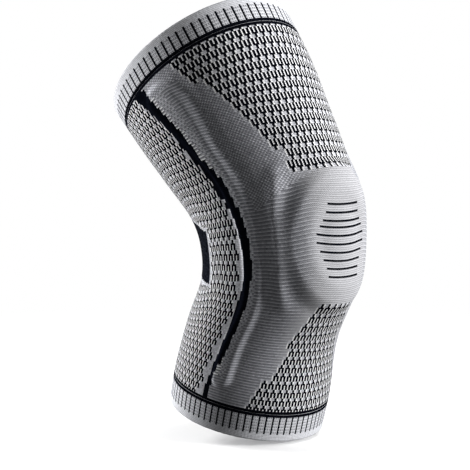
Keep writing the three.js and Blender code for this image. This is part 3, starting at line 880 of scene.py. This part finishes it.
def stay_pocket(name, side):
    """Strip as wide as the channel over it, with round ends that stop at END_WIDTH."""
    def edges(at):
        half_width = through(channel_at, channel_half_widths, at)
        across = np.sqrt(np.maximum(half_width**2 - past_channel(at, half_width) ** 2, 0))
        across = np.maximum(across, END_WIDTH * half_width)
        return beside_channel(side, -across, at), beside_channel(side, across, at)

    places = np.linspace(CHANNEL["bottom"] + END_INSET, CHANNEL["top"] - END_INSET, STAY_POCKET_ROWS)
    points = layer_strip(places, edges, STAY_POCKET_COLUMNS, POCKET_TOP, POCKET_TOP - POCKET_WALL)
    return knit_strip(name, points)


# %% [markdown]
# ## The stays
# Each side has a stay: a moulded nylon end with an oval loop, a flat woven spring that gives along its width,
# and a rounded nylon tip.

# %% Stays
STAY_THICKNESS = 2.6
LOOP = {"height": 40.0, "hole_width": 11.0, "hole_height": 27.0, "top": 258.0, "shoulder_width": 13.0}
HOLE_CENTRE = 0.46  # down from the loop's top, a share of its height
LOOP_POINTS = 160
LOOP_BANDS = 13
STEM = {"width": 9.0, "length": 24.0}
SPRING = {"width": 8.4, "top": 184.0, "bottom": 78.0, "wire": 0.45, "turns": 58, "turn_steps": 12}
WIRE_SIDES = 6
TIP = {"width": 8.0, "bottom": 46.0, "first_angle": 0.12, "end_rows": 12, "rows": 20, "columns": 9}
STAY_EDGE = 0.3  # half the thickness left at a moulded rim
RIM_POWER = 8
OVER = UNDER + STAY_THICKNESS


def nylon_material():
    """Clear nylon: injection moulded, cloudy white where it is thick, with a soft gloss."""
    material, tree, shader = new_material(
        "moulded_nylon", Roughness=0.36, IOR=1.53, Transmission_Weight=0.35, Subsurface_Weight=0.15,
        Subsurface_Scale=0.002,
    )
    grain = drifting_colour(tree, shader, 400.0, "#e4e8e8", "#f6f7f6")
    bump = add_node(tree, "ShaderNodeBump", inputs={"Strength": 0.2, "Distance": 0.0001, "Height": grain})
    tree.links.new(bump.outputs["Normal"], shader.inputs["Normal"])
    return material


def steel_material():
    """Stainless spring steel: drawn wire, bright, with a fine grain."""
    material, tree, shader = new_material("spring_steel", Metallic=1.0, Roughness=0.28)
    drifting_colour(tree, shader, 900.0, "#a8a8a4", "#c9c9c4")
    return material


nylon = nylon_material()
steel = steel_material()


def loop_outline():
    """Right half of the flat end's outline from its top down: (half width, place along the axis)."""
    foot = SPRING["top"] + SEAM_GAP
    shoulder = foot + STEM["length"]
    return [
        (0.24 * LOOP_WIDTH, LOOP["top"]),
        (0.5 * LOOP_WIDTH, LOOP["top"] - 0.2 * LOOP["height"]),
        (0.5 * LOOP_WIDTH, LOOP["top"] - 0.62 * LOOP["height"]),
        (LOOP["shoulder_width"] / 2, shoulder + 9),
        (LOOP["shoulder_width"] / 2, shoulder + 2),
        (STEM["width"] / 2, shoulder - 3),
        (STEM["width"] / 2, foot),
    ]


def stay_loop(name, side):
    """Surface between the oval hole and the outline, with half thickness 1 - |2s - 1|^RIM_POWER across it,
    which rounds both rims."""
    half = np.array(loop_outline())
    outline = np.concatenate([half, half[::-1] * [-1, 1]])
    closed = np.concatenate([outline, outline[:1]])
    lengths = np.concatenate([[0], np.cumsum(np.hypot(*np.diff(closed, axis=0).T))])
    walk = np.linspace(0, lengths[-1], LOOP_POINTS + 1)[:-1]
    outer = np.stack([np.interp(walk, lengths, closed[:, k]) for k in (0, 1)], -1)
    centre = LOOP["top"] - LOOP["height"] * HOLE_CENTRE
    direction = np.arctan2(outer[:, 0] / LOOP["hole_width"], (outer[:, 1] - centre) / LOOP["hole_height"])
    inner = np.stack(
        [LOOP["hole_width"] / 2 * np.sin(direction), centre + LOOP["hole_height"] / 2 * np.cos(direction)], -1
    )
    share = np.linspace(0, 1, LOOP_BANDS)
    flat = inner[:, None] + (outer - inner)[:, None] * share[None, :, None]
    rounding = (1 - np.abs(2 * share - 1) ** RIM_POWER) * (STAY_THICKNESS / 2 - STAY_EDGE) + STAY_EDGE
    middle = (UNDER + OVER) / 2
    angle = beside_channel(side, flat[..., 0], flat[..., 1])
    under = leg_point(angle, flat[..., 1], middle - rounding)
    over = leg_point(angle, flat[..., 1], middle + rounding)
    return grid_piece(name, np.concatenate([under, over[:, ::-1]], axis=1), nylon)


def stay_tip(name, side):
    """Flat bar with a half round end, a strip like the inner layers."""
    radius = TIP["width"] / 2
    turn = np.linspace(TIP["first_angle"], math.pi / 2, TIP["end_rows"])
    round_end = TIP["bottom"] + radius * (1 - np.cos(turn))
    straight = np.linspace(TIP["bottom"] + radius, SPRING["bottom"] - SEAM_GAP, TIP["rows"])[1:]
    places = np.concatenate([round_end, straight])

    def edges(at):
        across = np.sqrt(np.maximum(radius**2 - np.maximum(TIP["bottom"] + radius - at, 0) ** 2, 0))
        return beside_channel(side, -across, at), beside_channel(side, across, at)

    points = layer_strip(places, edges, TIP["columns"], OVER, UNDER)
    return grid_piece(name, points, nylon, wrap_rows=False)


def stay_spring(name, side):
    """Flat coil: one wire whose centre line winds as (w/2 · cos 2πk, pitch · k, thickness/2 · sin 2πk), with
    its cross-section, a circle, carried along that line."""
    wire, turns = SPRING["wire"], SPRING["turns"]
    turn = np.linspace(0, turns, turns * SPRING["turn_steps"])
    top, bottom = SPRING["top"] - wire, SPRING["bottom"] + wire
    at = bottom + (top - bottom) * turn / turns
    across = (SPRING["width"] / 2 - wire) * np.cos(2 * math.pi * turn)
    half_thick = (STAY_THICKNESS - CLEARANCE) / 2 - wire
    middle = UNDER + (STAY_THICKNESS - CLEARANCE) / 2
    lift = middle + half_thick * np.sin(2 * math.pi * turn)
    line = leg_point(beside_channel(side, across, at), at, lift)
    tangent = np.gradient(line, axis=0)
    tangent /= np.linalg.norm(tangent, axis=1, keepdims=True)
    up = np.gradient(leg_point(beside_channel(side, 0.0, at), at, middle), axis=0)
    up /= np.linalg.norm(up, axis=1, keepdims=True)
    first = np.cross(tangent, up)
    first /= np.linalg.norm(first, axis=1, keepdims=True)
    second = np.cross(tangent, first)
    around = np.linspace(0, 2 * math.pi, WIRE_SIDES + 1)[:-1, None]
    circle = np.cos(around) * first[:, None] + np.sin(around) * second[:, None]
    points = line[:, None] + wire * circle
    ends = [np.repeat(line[k][None, None], len(around), 1) for k in (0, -1)]
    points = np.concatenate([ends[0], points, ends[1]])
    return grid_piece(name, points, steel, wrap_rows=False)


for word, side in (("left", 1), ("right", -1)):
    lining = stay_pocket(f"{word}_channel_lining", side)
    dress(lining, f"{word}_stay_pocket", "pocket_knit", **STAY_POCKET)
    dress(stay_loop(f"{word}_loop_end", side), f"{word}_stay_loop", "stay_plastic")
    dress(stay_spring(f"{word}_flat_spring", side), f"{word}_stay_spring", "spring_steel")
    dress(stay_tip(f"{word}_round_tip", side), f"{word}_stay_tip", "stay_plastic")

# %% [markdown]
# ## Floor, light and camera
# A plain pale floor carries a soft shadow. The key light, in front on the right, models the knee. A large
# light behind draws the bright back edge, a third from above on the right opens the thigh, and the pale
# surroundings fill the rest.

# %% Stage
FLOOR_GAP = 2.0 * MM
FLOOR_SIZE = 6.0
FLOOR_FADE = (0.2, 0.8)  # distances from the object over which the floor gives way to the white surroundings


def floor_material():
    """Matt paper, opaque under the object and fading out smoothly with the distance from it."""
    material, tree, shader = new_material("matt_paper", Base_Color=linear("#fafafa"), Roughness=0.9)
    place = add_node(tree, "ShaderNodeTexCoord")
    distance = add_node(tree, "ShaderNodeVectorMath", {"operation": "LENGTH"}, {0: place.outputs["Object"]})
    near, far = FLOOR_FADE
    fade = add_node(
        tree, "ShaderNodeMapRange", {"interpolation_type": "SMOOTHSTEP"},
        {"Value": distance.outputs["Value"], "From Min": near, "From Max": far, "To Min": 1.0, "To Max": 0.0},
    )
    tree.links.new(fade.outputs["Result"], shader.inputs["Alpha"])
    return material


floor_height = cad_box[0][2] - FLOOR_GAP
bpy.ops.mesh.primitive_plane_add(size=FLOOR_SIZE, location=(0, 0, floor_height))
floor = bpy.context.object
floor.name = "floor"
floor.data.materials.append(floor_material())
floor.visible_diffuse = False  # it takes shadow, and throws no light back up

SURROUNDINGS = "#ffffff"
FILL_STRENGTH = 0.15  # what the surroundings give the object, against what is seen of them
world = bpy.data.worlds.new("studio")
bpy.context.scene.world = world
world.use_nodes = True
backdrop = world.node_tree.nodes["Background"]
backdrop.inputs["Color"].default_value = linear(SURROUNDINGS)
path = add_node(world.node_tree, "ShaderNodeLightPath")
strengths = {"Value": path.outputs["Is Camera Ray"], "To Min": FILL_STRENGTH}
seen = add_node(world.node_tree, "ShaderNodeMapRange", inputs=strengths)
world.node_tree.links.new(seen.outputs["Result"], backdrop.inputs["Strength"])


def away(azimuth, elevation):
    """Unit vector from the object to a viewer so many degrees round and up."""
    a, e = math.radians(azimuth), math.radians(elevation)
    return Vector((math.sin(a) * math.cos(e), -math.cos(a) * math.cos(e), math.sin(e)))


def area_light(name, azimuth, elevation, distance, size, power):
    """Square light that looks at the origin from so many degrees round and up, at a distance in metres."""
    data = bpy.data.lights.new(name, "AREA")
    data.size = size
    data.energy = power
    light = bpy.data.objects.new(name, data)
    light.location = away(azimuth, elevation) * distance
    light.rotation_mode = "QUATERNION"
    light.rotation_quaternion = (-away(azimuth, elevation)).to_track_quat("-Z", "Y")
    bpy.context.scene.collection.objects.link(light)


area_light("key", azimuth=33, elevation=10, distance=1.6, size=0.7, power=46)
area_light("back_edge", azimuth=-165, elevation=12, distance=1.6, size=1.0, power=78)
area_light("overhead", azimuth=65, elevation=62, distance=1.8, size=1.0, power=22)

# %% Camera
CAMERA = {"azimuth": -43.38, "elevation": 4.375, "distance": 1258.8 * MM, "yaw": 1.164, "pitch": 0.306}
FOCAL_PIXELS = 1629.3
FRAME_PIXELS = 470
SENSOR = 36.0
FAR_CLIP = 50.0

camera_data = bpy.data.cameras.new("camera")
camera_data.sensor_width = SENSOR
camera_data.lens = FOCAL_PIXELS * SENSOR / FRAME_PIXELS
camera_data.clip_end = FAR_CLIP
camera = bpy.data.objects.new("camera", camera_data)
bpy.context.scene.collection.objects.link(camera)
turned = CAMERA["azimuth"] + CAMERA["yaw"]
backward = away(turned, CAMERA["elevation"] + CAMERA["pitch"])
right = Vector((math.cos(math.radians(turned)), math.sin(math.radians(turned)), 0))
upward = backward.cross(right)
axes = Matrix((right, upward, backward)).transposed().to_4x4()
eye = away(CAMERA["azimuth"], CAMERA["elevation"]) * CAMERA["distance"]
camera.matrix_world = Matrix.Translation(eye) @ axes
bpy.context.scene.camera = camera
bpy.context.scene.view_settings.view_transform = "Standard"
